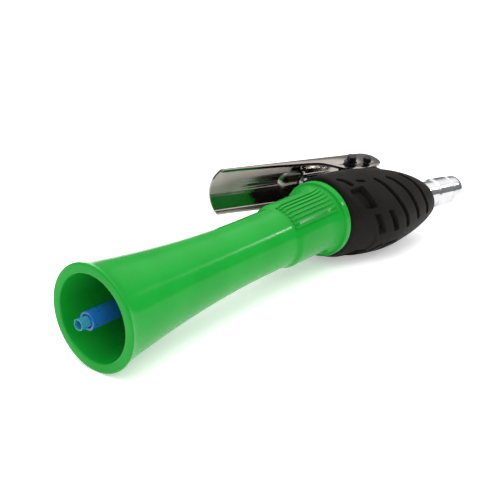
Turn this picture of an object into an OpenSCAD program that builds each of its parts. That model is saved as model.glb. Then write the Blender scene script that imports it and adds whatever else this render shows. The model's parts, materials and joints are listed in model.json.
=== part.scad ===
// Compressed-air whirl cleaning gun: flared nozzle cone with a spinning air tube,
// bent valve grip in a rubber boot, squeeze lever and a plug for the air hose.
// Gun axes: origin at the centre of the mouth, +X back along the nozzle axis,
// +Y towards the lever, Z along the lever's hinge pin. Lying on the ground, the
// whole gun is rolled about the nozzle axis, so that the lever side comes up.

/* [Lying pose] */
// Roll of the lying gun about its nozzle axis, lever side up, in degrees
lie_roll = 12; // [0:1:20]

/* [Nozzle cone] */
// Outer radius of the mouth
mouth_r = 20; // [18:0.5:22]
// Width of the flat rim round the mouth
rim_w = 3.8; // [2.5:0.1:4.5]
// Outer radius of the narrow neck
neck_r = 12.4; // [12.2:0.1:13]
// Wall of the neck
neck_wall = 2.5; // [2:0.1:2.6]
// Length of the flared bell, measured from the mouth
flare_len = 84; // [70:1:95]
// Full length of the cone, mouth to rear face
cone_len = 130.7; // [126:0.1:136]
// Outer radius of the rear collar
collar_r = 13.5; // [13.3:0.1:14.2]
// Length of the rear collar, with its flange
collar_len = 23.5; // [20:0.5:28]
// Outer radius of the rear flange
flange_r = 16.5; // [15.8:0.1:17]
// Thickness of the rear flange
flange_t = 3.6; // [2.5:0.1:5]
// Number of ribs in each grip panel of the collar
rib_count = 8; // [4:1:10]
// Spacing of the ribs round the collar
rib_pitch = 1.7; // [1.4:0.1:2]
// Width of one rib
rib_w = 0.8; // [0.5:0.1:1.1]
// Height of the ribs above the collar
rib_h = 0.5; // [0.3:0.1:0.8]
// Direction of the grip panel, turned from the lever side, in degrees
rib_turn = 109; // [60:1:140]

/* [Whirl tube] */
// Outer radius of the thin air tube
tube_r = 2.12; // [1.9:0.02:2.3]
// Bore radius of the thin air tube
tube_bore_r = 1.7; // [1.4:0.05:1.8]
// How far the tube's tip stands out in front of the mouth
tube_out = 7.3; // [4:0.1:12]
// Outer radius of the sleeve round the tube
sleeve_r = 3.4; // [3.1:0.05:4]
// Bore radius of the sleeve
sleeve_bore_r = 2.45; // [2.35:0.05:2.6]
// Distance of the sleeve's front end behind the mouth
sleeve_in = 1.8; // [0:0.1:6]

/* [Spinning hub] */
// Outer radius of the hub's front socket
socket_r = 5.4; // [4.8:0.1:6]
// Depth of the socket that holds the sleeve
socket_depth = 7; // [5:0.5:9]
// Radius of the hub's journal, and of the bearings' bore
journal_r = 3; // [2.8:0.1:3.2]
// Radius of the air passage through the hub
hub_air_r = 1.6; // [1.2:0.1:1.8]
// Outer radius of the ball bearings
bearing_r = 7.5; // [7.3:0.1:7.8]
// Width of one ball bearing
bearing_w = 5; // [4:0.5:6]
// Radius of the balls
ball_r = 1.3; // [1.1:0.05:1.4]
// Balls in each bearing
ball_count = 8; // [6:1:8]
// Clear length between the two bearings
bearing_gap = 8; // [6:0.5:9]
// Distance of the front bearing's face ahead of the cone's rear face
bearing_in = 23.7; // [23:0.1:25]

/* [Nozzle holder] */
// Radius of the holder's screwed body
holder_r = 11.1; // [11:0.05:11.3]
// Radius of the holder's front sleeve
holder_nose_r = 9.6; // [9.4:0.05:9.7]
// Depth of the cone's rear socket
cone_socket = 14.5; // [12:0.5:15]
// Depth of the valve body's front socket
body_socket = 8; // [6:0.5:9]

/* [Valve body] */
// Outer radius of the front barrel
front_r = 15.5; // [15:0.1:15.6]
// Length of the front barrel
front_len = 16; // [14:0.5:18]
// Bend of the grip away from the lever, in degrees
grip_bend = 13.5; // [8:0.5:18]
// Distance of the bend behind the cone's rear face
bend_in = 10.3; // [9:0.1:12]
// Shift of the inlet line towards the palm
inlet_shift = 1.5; // [0.5:0.1:2.5]
// Radius of the inlet barrel's front part
inlet_front_r = 11; // [10:0.1:12]
// Radius of the inlet barrel's rear part
inlet_r = 8.6; // [8:0.1:9]
// Length of the inlet barrel, from the bend
inlet_len = 42; // [40:0.5:44]
// Radius of the air passages
passage_r = 3; // [2.5:0.1:3.2]

/* [Air plug] */
// Radius of the plug's cylinder
plug_r = 6.8; // [6.5:0.05:7.1]
// Length of the plug outside the inlet barrel
plug_len = 39; // [36:0.5:42]
// Radius of the plug's neck, inside the boot
plug_neck_r = 6.1; // [5.8:0.1:6.4]
// Length of the plug's neck outside the inlet barrel
plug_neck_len = 19.5; // [18:0.5:21]
// Radius at the bottom of the locking groove
plug_groove_r = 5.9; // [5.5:0.1:6.3]
// Width of the locking groove
plug_groove_w = 1.7; // [1:0.1:2.5]
// Length of the bead behind the groove
plug_bead_len = 8.5; // [6:0.5:10]
// Radius of the plug's air passage
plug_bore_r = 3.6; // [3:0.1:4.2]
// Radius of the plug's screwed end
plug_thread_r = 6; // [5.5:0.1:6.4]
// Length of the plug's screwed end
plug_thread_len = 10; // [8:0.5:12]
// Thickness of the sealing washer
washer_t = 1.2; // [0.8:0.1:1.5]

/* [Rubber boot] */
// Half width of the grip, across the hinge pin's direction
grip_half_w = 18.5; // [18.2:0.1:19.5]
// Reach of the grip's palm swell from the nozzle axis
palm_out = 30.2; // [28:0.2:32]
// Reach of the grip towards the lever, at its front
lever_side_out = 17.4; // [17:0.1:18.5]
// Length of the boot from the cone's flange to its end
boot_len = 63; // [61:0.5:64]
// Distance from the flange to the widest part of the grip
widest_in = 17; // [14:0.5:20]
// Distance from the flange to the top of the palm swell
swell_in = 34; // [30:0.5:37]

/* [Lever] */
// Angle of the lever to the nozzle axis at rest, in degrees
lever_angle = 17.85; // [15:0.05:20]
// Distance of the hinge pin behind the cone's rear face
pin_in = 37; // [36:0.1:38]
// Distance of the hinge pin from the nozzle axis
pin_out = 12.8; // [12.4:0.1:13.5]
// Length of the lever ahead of the hinge pin
lever_len = 66; // [60:0.5:72]
// Half of the lever's width
lever_half_w = 11; // [10.5:0.1:11.5]
// Thickness of the lever's sheet steel
lever_t = 1.2; // [0.8:0.1:1.5]
// Height of the web's edge above the hinge pin
web_edge = 10; // [9.5:0.1:11]
// Extra height of the web's crown over its edges
web_crown = 3; // [2:0.1:4]
// Depth of the ears below the hinge pin
ear_drop = 5; // [4.2:0.1:5.2]
// Radius of the round dish that presses the stem
dish_r = 6; // [5:0.1:7]
// How far the dish stands below the web
dish_depth = 2.2; // [1.5:0.1:2.8]
// Travel of the lever, in degrees
lever_travel = 12; // [8:1:12]
// Radius of the hinge pin
pin_r = 1.6; // [1.4:0.1:1.8]
// How far the hinge pin stands out of each ear
pin_stand = 3.6; // [2.5:0.1:4.5]
// Outer radius of the clips on the hinge pin
clip_r = 3.1; // [2.8:0.1:3.4]
// Thickness of the clips
clip_t = 0.8; // [0.6:0.1:1]
// Distance from the hinge pin back to the stop pin
stop_back = 8.9; // [8.6:0.1:9.4]
// Distance of the stop pin below the line of the hinge pin
stop_drop = 0.8; // [0.5:0.1:1.2]
// Radius of the stop pin
stop_r = 1.5; // [1.2:0.1:1.6]
// How far the stop pin stands out of each ear
stop_stand = 2; // [1:0.1:3]
// Radius of the body's lug round the hinge pin
lug_r = 4.8; // [4.2:0.1:5]

/* [Valve] */
// Distance of the stem behind the cone's rear face
stem_in = 23.2; // [22.5:0.1:24]
// Radius of the stem
stem_r = 2; // [1.8:0.05:2.2]
// Radius of the button on the stem
button_r = 3; // [2.6:0.1:3.4]
// Thickness of the button
button_t = 2; // [1.5:0.1:3]
// Radius of the body's boss round the stem
boss_r = 7.5; // [7.2:0.1:8]
// Top of the boss above the nozzle axis
boss_top = 17.5; // [17:0.1:18.2]
// Thread radius of the gland
gland_r = 4.5; // [4.2:0.1:4.8]
// Height of the gland's hexagon
gland_hex_h = 3; // [2.5:0.1:3.5]
// Width of the gland's hexagon across its corners
gland_hex_w = 12.4; // [11.4:0.2:13]
// Radius of the chamber under the valve seat
chamber_r = 6.2; // [6:0.1:6.4]
// Distance of the valve seat below the nozzle axis
seat_drop = 4; // [3.6:0.1:4.4]
// Radius of the poppet
poppet_r = 5.2; // [5:0.1:5.4]
// Thickness of the poppet's rubber face
poppet_face_t = 1.2; // [1:0.1:1.6]
// Thickness of the poppet's flange
poppet_t = 1.6; // [1.2:0.1:2]
// Distance of the spring cap's inner face below the nozzle axis
cap_drop = 15; // [14.5:0.1:16]
// Length of the spring cap
cap_len = 6; // [5:0.5:7]
// Mean radius of the valve spring
spring_r = 3.6; // [3.4:0.1:3.8]
// Wire radius of the valve spring
spring_wire_r = 0.4; // [0.3:0.05:0.5]
// Turns of the valve spring
spring_turns = 5; // [4:1:7]

/* [Clearances] */
// Gap between pieces that are screwed or pushed together
seat_gap = 0.03; // [0.02:0.01:0.05]
// Radial running clearance of pins and shafts
run_gap = 0.05; // [0.03:0.01:0.1]
// Gap between pieces that move past each other
side_gap = 0.3; // [0.2:0.05:0.4]
// Gap between the rubber boot and what it covers
boot_gap = 0.1; // [0.05:0.05:0.2]

/* [Hidden] */
$fn = 64;
eps = 0.5; // how far a cut runs past a face

// Nozzle cone
neck_bore_r = neck_r - neck_wall;
flare_power = 1.9;
lip = 0.5;
lip_len = 8;
bell_steps = 26;
collar_x = cone_len - collar_len;
collar_step = 1;
flange_fillet = 1.8;
rib_len = collar_len - collar_step - flange_t - flange_fillet - 0.8;
rib_root = 1;
function bell_outer(x) = neck_r + (mouth_r - lip - neck_r) * pow(1 - min(x, flare_len) / flare_len, flare_power)
    + lip * pow(max(0, 1 - x / lip_len), 2);
function bell_inner(x) = neck_bore_r
    + (mouth_r - rim_w - neck_bore_r) * pow(1 - min(x, flare_len) / flare_len, flare_power);

// Places along the nozzle axis
front_bearing_x = cone_len - bearing_in;
rear_bearing_x = front_bearing_x + bearing_w + bearing_gap;
socket_x = front_bearing_x - socket_depth - 3;
holder_x = front_bearing_x - 1;
cone_socket_x = cone_len - cone_socket;
body_x = cone_len + side_gap;
holder_end_x = body_x + body_socket;
seal_t = 2;
seal_x = rear_bearing_x + bearing_w + 2.2;
clip_seat_x = rear_bearing_x + bearing_w + seat_gap;
hub_clip_t = 0.8;
hub_clip_groove = 0.4;
hub_clip_r = 4.2;
hub_end_x = seal_x + seal_t + 1;
race_w = 1.1;
race_mid_r = (bearing_r + journal_r) / 2;
cone_seal_r = 0.9;
holder_groove_x = cone_socket_x + 3;

// Grip and inlet
bend_x = cone_len + bend_in;
knuckle_r = 13.6;
inlet_start = 4;
inlet_front_len = 28;
inlet_bore_end = 14;
spot_face = 0.4; // the end of the casting is faced flat round the barrel
filter_t = 3;
filter_r = 5.2;
plug_chamfer = 0.8;
stem_x = cone_len + stem_in;
cap_boss_r = chamber_r + 3.3;
cap_boss_end = cap_drop + cap_len;
boss_root = 2; // the two bosses overlap each other inside the barrel
pin_x = cone_len + pin_in;

// Lever, in its own axes: x back along the lever, y outwards, hinge pin at the origin
web_curve_r = (pow(lever_half_w, 2) + pow(web_crown, 2)) / (2 * web_crown);
web_top = web_edge + web_crown;
lever_back = 15;
stem_arm_x = -19.1;
dish_mid = web_top - lever_t - dish_depth + dish_r;
ear_half_w = lever_half_w - lever_t;
lug_half_w = ear_half_w - side_gap;
pin_half_len = lever_half_w + pin_stand;
stop_half_len = lever_half_w + stop_stand;
clip_groove = 0.4;
// Stop pin in the gun's axes, and the heel that it rests on
stop_x = pin_x + stop_back * cos(lever_angle) - stop_drop * sin(lever_angle);
stop_y = pin_out - stop_back * sin(lever_angle) - stop_drop * cos(lever_angle);
heel_top = stop_y - stop_r - run_gap;
heel_end_x = stop_x + 4;
// Dish and button in the gun's axes
dish_y = pin_out - stem_arm_x * sin(lever_angle) + dish_mid * cos(lever_angle);
button_top = dish_y - dish_r - side_gap;
gland_foot = 11;
stem_seal_w = 1.05;
seal_floor = gland_foot - 2 * stem_seal_w - 0.1;
poppet_top = -seat_drop - side_gap;
poppet_foot = poppet_top - poppet_face_t - poppet_t;
spring_top = poppet_foot - 0.05;
spring_foot = -cap_drop + 0.05;

// Rubber boot: elliptical sections along the nozzle axis
boot_x = cone_len + side_gap;
boot_end_x = cone_len + boot_len;
boot_stations = 30;
boot_sides = 48;
boot_reach = 53;
swell_reach = 34;
inlet_end_out = 15.5;
lever_side_fall = 32.9;
lever_side_reach = 65;
lever_side_power = 2.2;
lever_side_in = 5.3;
boot_edge = 1.6;
saddle_half_w = lever_half_w + side_gap + 0.3;
saddle_front_x = pin_x - 10.5;
saddle_back_x = pin_x + 18;
saddle_high = 8.2;
saddle_slope = 15;

function quarter(d, reach) = sqrt(max(0, 1 - pow(d / reach, 2)));
function grip_w(x) = grip_half_w * quarter(x - cone_len - widest_in, boot_reach);
function palm_y(x) = let (peak = cone_len + swell_in)
    x < peak ? -(flange_r + 0.3 + (palm_out - flange_r - 0.3) * sin(90 * (x - boot_x) / (peak - boot_x)))
    : -(inlet_end_out + (palm_out - inlet_end_out) * quarter(x - peak, swell_reach));
function lever_y(x) = lever_side_out
    - lever_side_fall * pow(max(0, x - cone_len - lever_side_in) / lever_side_reach, lever_side_power);
// The front and rear edges are rounded by shrinking the outermost sections
function edge_in(x) = let (d = min(x - boot_x, boot_end_x - x))
    d >= boot_edge ? 0 : boot_edge - sqrt(pow(boot_edge, 2) - pow(boot_edge - d, 2));
function station(i) = let (n = boot_stations - 1, edge = 3)
    i <= edge ? boot_x + boot_edge * (1 - cos(90 * i / edge))
    : i >= n - edge ? boot_end_x - boot_edge * (1 - cos(90 * (n - i) / edge))
    : boot_x + boot_edge + (boot_end_x - boot_x - 2 * boot_edge) * (i - edge) / (n - 2 * edge);
function boot_ring(x) = let (mid = (lever_y(x) + palm_y(x)) / 2, ry = (lever_y(x) - palm_y(x)) / 2 - edge_in(x),
    rz = grip_w(x) - edge_in(x))
    [for (k = [0 : boot_sides - 1]) let (a = 360 * k / boot_sides) [x, mid + ry * cos(a), rz * sin(a)]];

// Places and directions
module lying() { rotate([lie_roll, 0, 0]) children(); }
module along_x(x) { translate([x, 0, 0]) rotate([0, 90, 0]) children(); }
module along_inlet(t) {
    translate([bend_x, -inlet_shift, 0]) rotate([0, 0, -grip_bend]) translate([t, 0, 0]) rotate([0, 90, 0])
        children();
}
// Up along the stem, towards the lever, from a height over the nozzle axis
module along_stem(y) { translate([stem_x, y, 0]) rotate([-90, 0, 0]) children(); }
module lever_axes() { translate([pin_x, pin_out, 0]) rotate([0, 0, -lever_angle]) children(); }
module bar_x(x0, x1, r) { along_x(x0) cylinder(r = r, h = x1 - x0); }
module ring_x(x0, x1, r_out, r_in) {
    along_x(x0) difference() {
        cylinder(r = r_out, h = x1 - x0);
        translate([0, 0, -eps]) cylinder(r = r_in, h = x1 - x0 + 2 * eps);
    }
}
module pin_z(r, half) { translate([0, 0, -half]) cylinder(r = r, h = 2 * half); }

// Outline of the bell, neck, collar and flange, as radius against place
module cone_profile() {
    outer = [for (i = [0 : bell_steps]) let (x = flare_len * i / bell_steps) [bell_outer(x), x]];
    fillet = [for (a = [0 : 15 : 90])
        [collar_r + flange_fillet * (1 - cos(a)), cone_len - flange_t - flange_fillet * (1 - sin(a))]];
    rear = [[neck_r, collar_x], [collar_r, collar_x + collar_step]];
    flange = [[flange_r - 0.5, cone_len - flange_t], [flange_r, cone_len - flange_t + 0.5],
        [flange_r, cone_len - 0.6], [flange_r - 0.6, cone_len],
        [holder_r + seat_gap, cone_len], [holder_r + seat_gap, cone_socket_x], [neck_bore_r, cone_socket_x]];
    inner = [for (i = [bell_steps : -1 : 0]) let (x = flare_len * i / bell_steps) [bell_inner(x), x]];
    polygon(concat(outer, rear, fillet, flange, inner));
}

module grip_ribs() {
    step = rib_pitch / collar_r * 180 / PI;
    for (i = [0 : rib_count - 1])
        rotate([rib_turn + (i - (rib_count - 1) / 2) * step, 0, 0])
            translate([collar_x + collar_step + 0.2, collar_r - rib_root, -rib_w / 2])
                cube([rib_len, rib_root + rib_h, rib_w]);
}

module nozzle_cone() {
    color([0.2, 0.74, 0.33]) lying() union() {
        along_x(0) rotate_extrude() cone_profile();
        grip_ribs();
        rotate([180, 0, 0]) grip_ribs();
    }
}

module cone_seal() {
    color([0.12, 0.12, 0.12]) lying() along_x(holder_groove_x)
        rotate_extrude() translate([holder_r - cone_seal_r + seat_gap / 2, 0]) circle(r = cone_seal_r, $fn = 24);
}

module nozzle_holder() {
    color([0.75, 0.76, 0.78]) lying() difference() {
        union() {
            bar_x(holder_x, holder_end_x, holder_nose_r);
            bar_x(cone_socket_x + seat_gap, holder_end_x, holder_r);
        }
        bar_x(holder_x - eps, front_bearing_x + bearing_w, bearing_r + seat_gap);
        bar_x(holder_x, holder_end_x - 4, journal_r + 2.6);
        bar_x(rear_bearing_x, holder_end_x - 4, bearing_r + seat_gap);
        bar_x(holder_x, holder_end_x + eps, passage_r);
        ring_x(holder_groove_x - cone_seal_r, holder_groove_x + cone_seal_r, holder_r + eps,
            holder_r - 2 * cone_seal_r);
    }
}

// One ring of a ball bearing, with the groove that its balls run in
module race(x, r_out, r_in) {
    along_x(x) difference() {
        cylinder(r = r_out, h = bearing_w);
        translate([0, 0, -eps]) cylinder(r = r_in, h = bearing_w + 2 * eps);
        translate([0, 0, bearing_w / 2]) rotate_extrude() translate([race_mid_r, 0])
            circle(r = ball_r + run_gap, $fn = 32);
    }
}

module bearing_outer_rings() {
    color([0.7, 0.71, 0.73]) lying() for (x = [front_bearing_x, rear_bearing_x])
        race(x, bearing_r, bearing_r - race_w);
}

module bearing_inner_rings() {
    color([0.7, 0.71, 0.73]) lying() for (x = [front_bearing_x, rear_bearing_x])
        race(x, journal_r + race_w + seat_gap, journal_r + seat_gap);
}

module bearing_balls() {
    color([0.85, 0.86, 0.88]) lying() for (x = [front_bearing_x, rear_bearing_x], i = [0 : ball_count - 1])
        rotate([360 * i / ball_count, 0, 0]) translate([x + bearing_w / 2, race_mid_r, 0])
            sphere(r = ball_r, $fn = 32);
}

module bearing_spacer() {
    color([0.75, 0.76, 0.78]) lying() ring_x(front_bearing_x + bearing_w + seat_gap, rear_bearing_x - seat_gap,
        journal_r + race_w, journal_r + seat_gap);
}

module hub_seal() {
    color([0.9, 0.9, 0.86]) lying() ring_x(seal_x, seal_x + seal_t, bearing_r, journal_r + run_gap);
}

module spinner_hub() {
    color([0.78, 0.79, 0.8]) lying() difference() {
        union() {
            bar_x(socket_x, front_bearing_x - 1, socket_r);
            bar_x(socket_x, front_bearing_x - seat_gap, journal_r + race_w);
            bar_x(socket_x, hub_end_x, journal_r);
        }
        bar_x(socket_x - eps, socket_x + socket_depth, sleeve_r + seat_gap);
        bar_x(socket_x, socket_x + socket_depth + 2, tube_r + seat_gap);
        bar_x(socket_x, hub_end_x + eps, hub_air_r);
        ring_x(clip_seat_x, clip_seat_x + hub_clip_t + 2 * seat_gap, journal_r + eps, journal_r - hub_clip_groove);
    }
}

module hub_clip() {
    color([0.3, 0.31, 0.33]) lying() difference() {
        ring_x(clip_seat_x + seat_gap, clip_seat_x + seat_gap + hub_clip_t, hub_clip_r,
            journal_r - hub_clip_groove + seat_gap);
        translate([clip_seat_x - eps, 0, -1]) cube([hub_clip_t + 2 * eps, hub_clip_r + eps, 2]);
    }
}

module spin_sleeve() {
    color([0.12, 0.4, 0.72]) lying()
        ring_x(sleeve_in, socket_x + socket_depth - seat_gap, sleeve_r, sleeve_bore_r);
}

module spin_tube() {
    color([0.35, 0.65, 0.85]) lying()
        ring_x(-tube_out, socket_x + socket_depth + 2 - seat_gap, tube_r, tube_bore_r);
}

// Outside of the casting, grown by a margin for what goes round it
module casting_form(grow) {
    bar_x(body_x, body_x + front_len + grow, front_r + grow);
    translate([bend_x, 0, 0]) sphere(r = knuckle_r + grow);
    along_inlet(inlet_start) cylinder(r = inlet_front_r + grow, h = inlet_front_len - inlet_start + grow);
    along_inlet(inlet_front_len / 2) cylinder(r = inlet_r + grow, h = inlet_len - inlet_front_len / 2 + grow);
    along_stem(0) cylinder(r = boss_r + grow, h = boss_top);
    along_stem(-cap_boss_end - grow) cylinder(r = cap_boss_r + grow, h = cap_boss_end + grow + boss_root);
    lug_form(grow);
}

// Lug that carries the hinge pin, with the heel that the stop pin rests on
module lug_form(grow) {
    half = lug_half_w + grow;
    foot = -6;
    translate([pin_x, pin_out, 0]) pin_z(lug_r + grow, half);
    translate([pin_x - lug_r - grow, foot, -half]) cube([2 * (lug_r + grow), pin_out - foot, 2 * half]);
    translate([pin_x, foot, -half]) cube([heel_end_x - pin_x + grow, heel_top - foot + grow, 2 * half]);
}

module valve_body() {
    color([0.2, 0.2, 0.21]) lying() difference() {
        casting_form(0);
        bar_x(bend_x - knuckle_r - eps, holder_end_x + seat_gap, holder_r + seat_gap);
        bar_x(body_x, stem_x, passage_r);
        along_stem(seal_floor) cylinder(r = gland_r + seat_gap, h = boss_top);
        along_stem(0) cylinder(r = stem_r + run_gap, h = boss_top);
        along_stem(-seat_drop - eps) cylinder(r = passage_r + 0.5, h = seat_drop + passage_r + eps);
        along_stem(-cap_boss_end - eps) cylinder(r = chamber_r, h = cap_boss_end - seat_drop + eps);
        along_inlet(inlet_bore_end + 3) cylinder(r = passage_r, h = inlet_len);
        along_inlet(inlet_len) cylinder(r = inlet_r + spot_face, h = inlet_len);
        along_inlet(inlet_len - plug_thread_len - filter_t - 1) cylinder(r = filter_r + seat_gap, h = inlet_len);
        along_inlet(inlet_len - plug_thread_len - 1) cylinder(r = plug_thread_r + seat_gap, h = inlet_len);
        translate([pin_x, pin_out, 0]) pin_z(pin_r + seat_gap, lug_half_w + eps);
    }
}

// Closed skin through rings of points with equal counts
module skin(rings) {
    n = len(rings[0]);
    last = len(rings) - 1;
    sides = [for (i = [0 : last - 1], k = [0 : n - 1])
        [i * n + k, i * n + (k + 1) % n, (i + 1) * n + (k + 1) % n, (i + 1) * n + k]];
    front = [[for (k = [n - 1 : -1 : 0]) k]];
    back = [[for (k = [0 : n - 1]) last * n + k]];
    polyhedron(points = [for (ring = rings) each ring], faces = concat(sides, front, back));
}

module rubber_boot() {
    color([0.13, 0.13, 0.13]) lying() difference() {
        skin([for (i = [0 : boot_stations - 1]) boot_ring(station(i))]);
        casting_form(boot_gap);
        along_inlet(inlet_len - 1) cylinder(r = inlet_r + boot_gap, h = 1 + washer_t + 2 * seat_gap + boot_gap);
        bar_x(boot_x - eps, boot_x + eps, front_r + boot_gap);
        along_inlet(inlet_start) cylinder(r = plug_neck_r + boot_gap, h = inlet_len + plug_len);
        saddle_cut();
    }
}

// Flat beside the lug, where the lever's ears swing
module saddle_cut() {
    translate([saddle_front_x, saddle_high, -saddle_half_w]) rotate([0, 0, -saddle_slope])
        cube([saddle_back_x - saddle_front_x, 2 * lever_side_out, 2 * saddle_half_w]);
}

module stem_gland() {
    color([0.8, 0.68, 0.35]) lying() difference() {
        union() {
            along_stem(gland_foot) cylinder(r = gland_r, h = boss_top - gland_foot + eps);
            along_stem(boss_top + seat_gap) cylinder(r = gland_hex_w / 2, h = gland_hex_h, $fn = 6);
        }
        along_stem(0) cylinder(r = stem_r + run_gap, h = 2 * boss_top);
    }
}

module stem_seal() {
    color([0.12, 0.12, 0.12]) lying() along_stem(seal_floor + stem_seal_w + 0.05) rotate_extrude()
        translate([stem_r + run_gap + stem_seal_w, 0]) circle(r = stem_seal_w, $fn = 24);
}

module valve_stem() {
    color([0.82, 0.83, 0.85]) lying()
        along_stem(poppet_top) cylinder(r = stem_r, h = button_top - button_t - seat_gap - poppet_top);
}

module stem_button() {
    color([0.85, 0.86, 0.88]) lying() along_stem(button_top - button_t) cylinder(r = button_r, h = button_t);
}

module poppet_face() {
    color([0.15, 0.15, 0.15]) lying()
        along_stem(poppet_top - poppet_face_t) cylinder(r = poppet_r - 0.2, h = poppet_face_t - seat_gap);
}

module poppet() {
    color([0.8, 0.68, 0.35]) lying() union() {
        along_stem(poppet_foot) cylinder(r = poppet_r, h = poppet_t - seat_gap);
        along_stem(poppet_foot - 2) cylinder(r = spring_r - spring_wire_r - 0.3, h = 3);
    }
}

// Valve spring: a round wire swept along a helix with level ends
module valve_spring() {
    wire_sides = 8;
    steps = 18 * spring_turns;
    low = spring_foot + spring_wire_r;
    high = spring_top - spring_wire_r;
    rings = [for (i = [0 : steps]) let (a = 360 * spring_turns * i / steps, y = low + (high - low) * i / steps)
        [for (k = [0 : wire_sides - 1]) let (b = 360 * k / wire_sides, r = spring_r + spring_wire_r * cos(b))
            [stem_x + r * sin(a), y + spring_wire_r * sin(b), r * cos(a)]]];
    color([0.75, 0.76, 0.78]) lying() skin(rings);
}

module spring_cap() {
    color([0.8, 0.68, 0.35]) lying() difference() {
        along_stem(-cap_boss_end) cylinder(r = chamber_r - seat_gap, h = cap_len);
        along_stem(-cap_boss_end - eps) cylinder(r = 2.9, h = 2.5 + eps, $fn = 6);
    }
}

module inlet_filter() {
    color([0.72, 0.6, 0.4]) lying() along_inlet(inlet_len - plug_thread_len - filter_t - 1 + seat_gap) difference() {
        cylinder(r = filter_r, h = filter_t);
        for (i = [0 : 5]) rotate([0, 0, 60 * i]) translate([filter_r / 2, 0, -eps])
            cylinder(r = 0.8, h = filter_t + 2 * eps, $fn = 24);
    }
}

module plug_washer() {
    color([0.25, 0.25, 0.26]) lying() along_inlet(inlet_len + seat_gap) difference() {
        cylinder(r = inlet_r - 0.2, h = washer_t);
        translate([0, 0, -eps]) cylinder(r = plug_thread_r + seat_gap, h = washer_t + 2 * eps);
    }
}

// Hose plug: screwed end, collar, long cylinder, locking groove and rounded bead
module plug_profile() {
    foot = -plug_thread_len;
    face = washer_t + 2 * seat_gap;
    bead_x = plug_len - plug_bead_len;
    bead_round = 2.6;
    thread = [[plug_bore_r, foot], [plug_thread_r - 0.6, foot], [plug_thread_r, foot + 0.6]];
    barrel = [[plug_thread_r, face], [plug_neck_r, face], [plug_neck_r, plug_neck_len], [plug_r, plug_neck_len + plug_chamfer],
        [plug_r, bead_x - plug_groove_w], [plug_groove_r, bead_x - plug_groove_w + 0.4],
        [plug_groove_r, bead_x - 0.3], [plug_r - 0.4, bead_x], [plug_r - 0.4, plug_len - bead_round - 1.2]];
    nose = [for (a = [15 : 15 : 90])
        [plug_r - 0.4 - bead_round * (1 - cos(a)), plug_len - bead_round * (1 - sin(a)) - 0.01]];
    polygon(concat(thread, barrel, nose, [[plug_bore_r + 0.5, plug_len], [plug_bore_r, plug_len - 0.8]]));
}

module air_plug() {
    color([0.82, 0.83, 0.85]) lying() along_inlet(inlet_len) rotate_extrude() plug_profile();
}

// Side outline of the lever: shallow flanges that deepen into the ears
module lever_side() {
    front = -lever_len - 2;
    polygon([[front, web_edge - 1.2], [-27, 5.2], [-17, 4], [-13, 2.6], [-10.5, 0.4], [-7.5, -2.8],
        [-4.5, -ear_drop + 0.5], [-2, -ear_drop], [9, -ear_drop + 0.5], [12.2, -3.2], [14.2, -1], [lever_back, 1.8],
        [14.4, 4.2], [4.6, web_edge - 0.4], [3, web_top + 1], [front, web_top + 1]]);
}

module lever_shell() {
    length = lever_len + lever_back + 4;
    difference() {
        intersection() {
            bent_web(length, web_curve_r);
            translate([-lever_len - 2, -ear_drop - 1, -lever_half_w])
                cube([length, web_top + ear_drop + 2, 2 * lever_half_w]);
        }
        intersection() {
            bent_web(length + 2 * eps, web_curve_r - lever_t);
            translate([-lever_len - 2 - eps, -ear_drop - 2, -ear_half_w])
                cube([length + 2 * eps, web_top + ear_drop + 2, 2 * ear_half_w]);
        }
    }
}

module bent_web(length, r) {
    translate([-lever_len - 2 - (length - lever_len - lever_back - 4) / 2, web_top - web_curve_r, 0])
        rotate([0, 90, 0]) cylinder(r = r, h = length, $fn = 96);
    translate([-lever_len - 2 - (length - lever_len - lever_back - 4) / 2, -ear_drop - 2, -r])
        cube([length, web_top - web_curve_r + ear_drop + 2 + 0.01, 2 * r]);
}

// Seen from above, the free end is rounded
module lever_plan() {
    end_r = (pow(lever_half_w, 2) + pow(web_crown, 2)) / (2 * web_crown);
    translate([end_r - lever_len, web_top + 2, 0]) rotate([90, 0, 0])
        cylinder(r = end_r, h = web_top + ear_drop + 4, $fn = 96);
    translate([end_r - lever_len, -ear_drop - 2, -lever_half_w - 1])
        cube([lever_len + lever_back, web_top + ear_drop + 4, 2 * lever_half_w + 2]);
}

module lever() {
    color([0.7, 0.68, 0.66]) lying() lever_axes() difference() {
        union() {
            intersection() {
                lever_shell();
                translate([0, 0, -lever_half_w - 1]) linear_extrude(2 * lever_half_w + 2) lever_side();
                lever_plan();
            }
            intersection() {
                translate([stem_arm_x, dish_mid, 0]) sphere(r = dish_r);
                translate([stem_arm_x - dish_r, 0, -dish_r]) cube([2 * dish_r, web_top - lever_t / 2, 2 * dish_r]);
            }
        }
        translate([stem_arm_x, dish_mid, 0]) sphere(r = dish_r - lever_t);
        pin_z(pin_r + run_gap, lever_half_w + eps);
        translate([stop_back, -stop_drop, 0]) pin_z(stop_r + seat_gap, lever_half_w + eps);
    }
}

module lever_pin() {
    color([0.12, 0.12, 0.13]) lying() translate([pin_x, pin_out, 0]) difference() {
        pin_z(pin_r, pin_half_len);
        for (side = [-1, 1]) translate([0, 0, side * (lever_half_w + side_gap + clip_t / 2)]) difference() {
            pin_z(pin_r + eps, clip_t / 2 + seat_gap);
            pin_z(pin_r - clip_groove, clip_t / 2 + 2 * seat_gap);
        }
    }
}

module pin_clips() {
    color([0.16, 0.14, 0.13]) lying() for (side = [-1, 1])
        translate([pin_x, pin_out, side * (lever_half_w + side_gap + clip_t / 2)]) difference() {
            pin_z(clip_r, clip_t / 2);
            pin_z(pin_r - clip_groove + seat_gap, clip_t);
            translate([0, 0, -clip_t]) rotate([0, 0, -60]) translate([0, -pin_r * 0.7, 0])
                cube([clip_r + eps, pin_r * 1.4, 2 * clip_t]);
        }
}

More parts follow.
